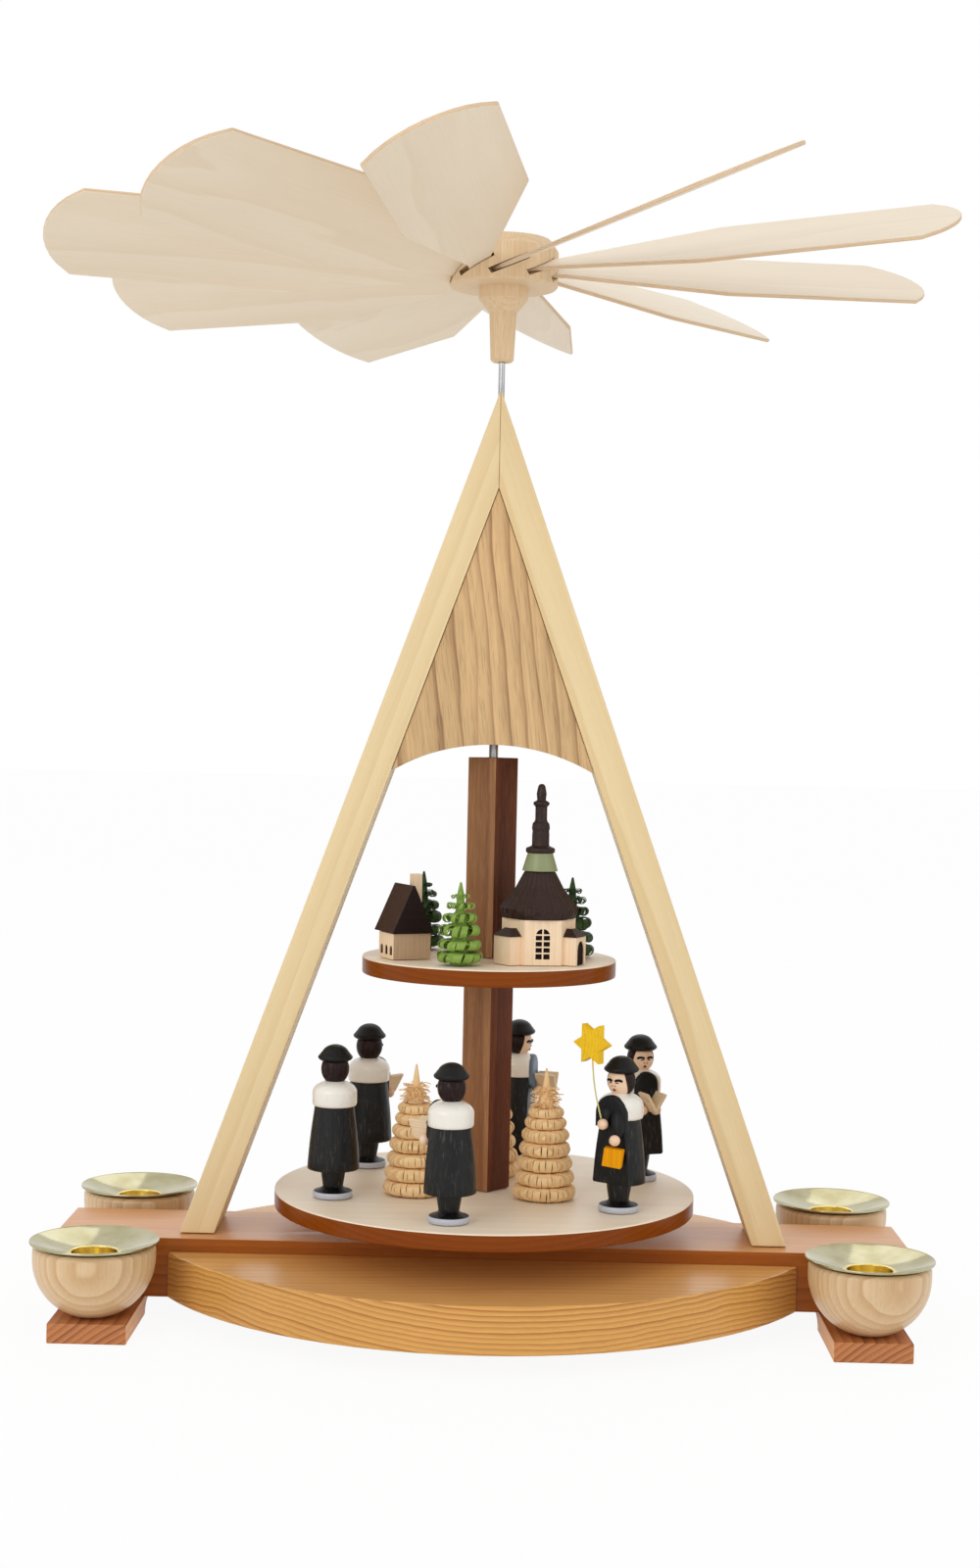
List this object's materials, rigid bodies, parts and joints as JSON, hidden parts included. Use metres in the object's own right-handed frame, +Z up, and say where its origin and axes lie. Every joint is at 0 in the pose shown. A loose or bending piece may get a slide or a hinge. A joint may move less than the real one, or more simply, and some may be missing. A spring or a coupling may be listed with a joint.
{
  "type": "candle carousel",
  "caption": "Two-tier wooden candle carousel: an A-shaped frame over a spindle with turning discs and figures, driven by a bladed impeller above corner candle cups.",
  "frame": {"origin": "on the spindle's axis, at the level that the foot bars stand on", "axes": "+Z up along the spindle, -Y to the viewer of the front, +X to the right along the plank"},
  "size_m": [0.3131, 0.3204, 0.3909],
  "materials": {
    "larch": "bare, planed, with stripes of heartwood",
    "plank_pine": "stained reddish brown, satin",
    "step_pine": "stained amber, satin",
    "lime_wood": "bare, sanded, close grained",
    "ash_panel": "bare, with brown streaks",
    "steel": "bright drawn steel",
    "bush_brass": "turned brass",
    "turned_ash": "turned, satin, with growth rings",
    "wax_brass": "spun pale gold, bright",
    "walnut": "bare, planed",
    "disc_plywood": "bare face, edge stained brown",
    "turned_hub": "turned, sanded",
    "blade_birch": "sliced veneer, sanded",
    "natural_curls": "curled chips, bare",
    "green_curls": "curled chips, stained green",
    "wall_maple": "bare, sanded",
    "dark_roof": "stained dark brown, matt",
    "dark_spire": "turned, stained dark brown, above a pale green collar",
    "black_coat": "turned, painted black with an ivory cape",
    "book_maple": "bare, thin",
    "star_yellow": "stained yellow",
    "lantern_orange": "stained orange"
  },
  "bodies": {
    "stand": {"left_foot_bar": "larch", "right_foot_bar": "larch", "base_plank": "plank_pine", "front_base_segment": "step_pine", "rear_base_segment": "step_pine", "left_frame_leg": "lime_wood", "right_frame_leg": "lime_wood", "front_gable_panel": "ash_panel", "rear_gable_panel": "ash_panel", "bearing_cup": "steel", "apex_guide_bush": "bush_brass", "candle_cup_front_left": "turned_ash", "candle_cup_front_right": "turned_ash", "candle_cup_rear_left": "turned_ash", "candle_cup_rear_right": "turned_ash", "wax_plate_front_left": "wax_brass", "wax_plate_front_right": "wax_brass", "wax_plate_rear_left": "wax_brass", "wax_plate_rear_right": "wax_brass"},
    "carousel": {"spindle": "steel", "lower_post": "walnut", "upper_post": "walnut", "lower_disc": "disc_plywood", "upper_disc": "disc_plywood", "impeller_hub": "turned_hub", "blade_01": "blade_birch", "blade_02": "blade_birch", "blade_03": "blade_birch", "blade_04": "blade_birch", "blade_05": "blade_birch", "blade_06": "blade_birch", "blade_07": "blade_birch", "blade_08": "blade_birch", "blade_09": "blade_birch", "blade_10": "blade_birch", "natural_tree_left": "natural_curls", "natural_tree_right": "natural_curls", "natural_tree_rear": "natural_curls", "green_tree_front": "green_curls", "green_tree_rear_left": "green_curls", "green_tree_rear_right": "green_curls", "near_house_walls": "wall_maple", "far_house": "wall_maple", "church_walls": "wall_maple", "near_house_roof": "dark_roof", "church_roof": "dark_roof", "church_spire": "dark_spire", "caroler_front": "black_coat", "caroler_left": "black_coat", "caroler_rear_left": "black_coat", "caroler_rear": "black_coat", "caroler_right": "black_coat", "star_bearer": "black_coat", "songbook_front": "book_maple", "songbook_left": "book_maple", "songbook_rear_left": "book_maple", "songbook_rear": "book_maple", "songbook_right": "book_maple", "star_on_wire": "star_yellow", "lantern": "lantern_orange"}
  },
  "joints": [
    {"name": "carousel_spin", "type": "hinge", "parent": "stand", "child": "carousel", "pos_m": [0, 0, 0], "axis": [0, 0, 1], "continuous": true}
  ]
}
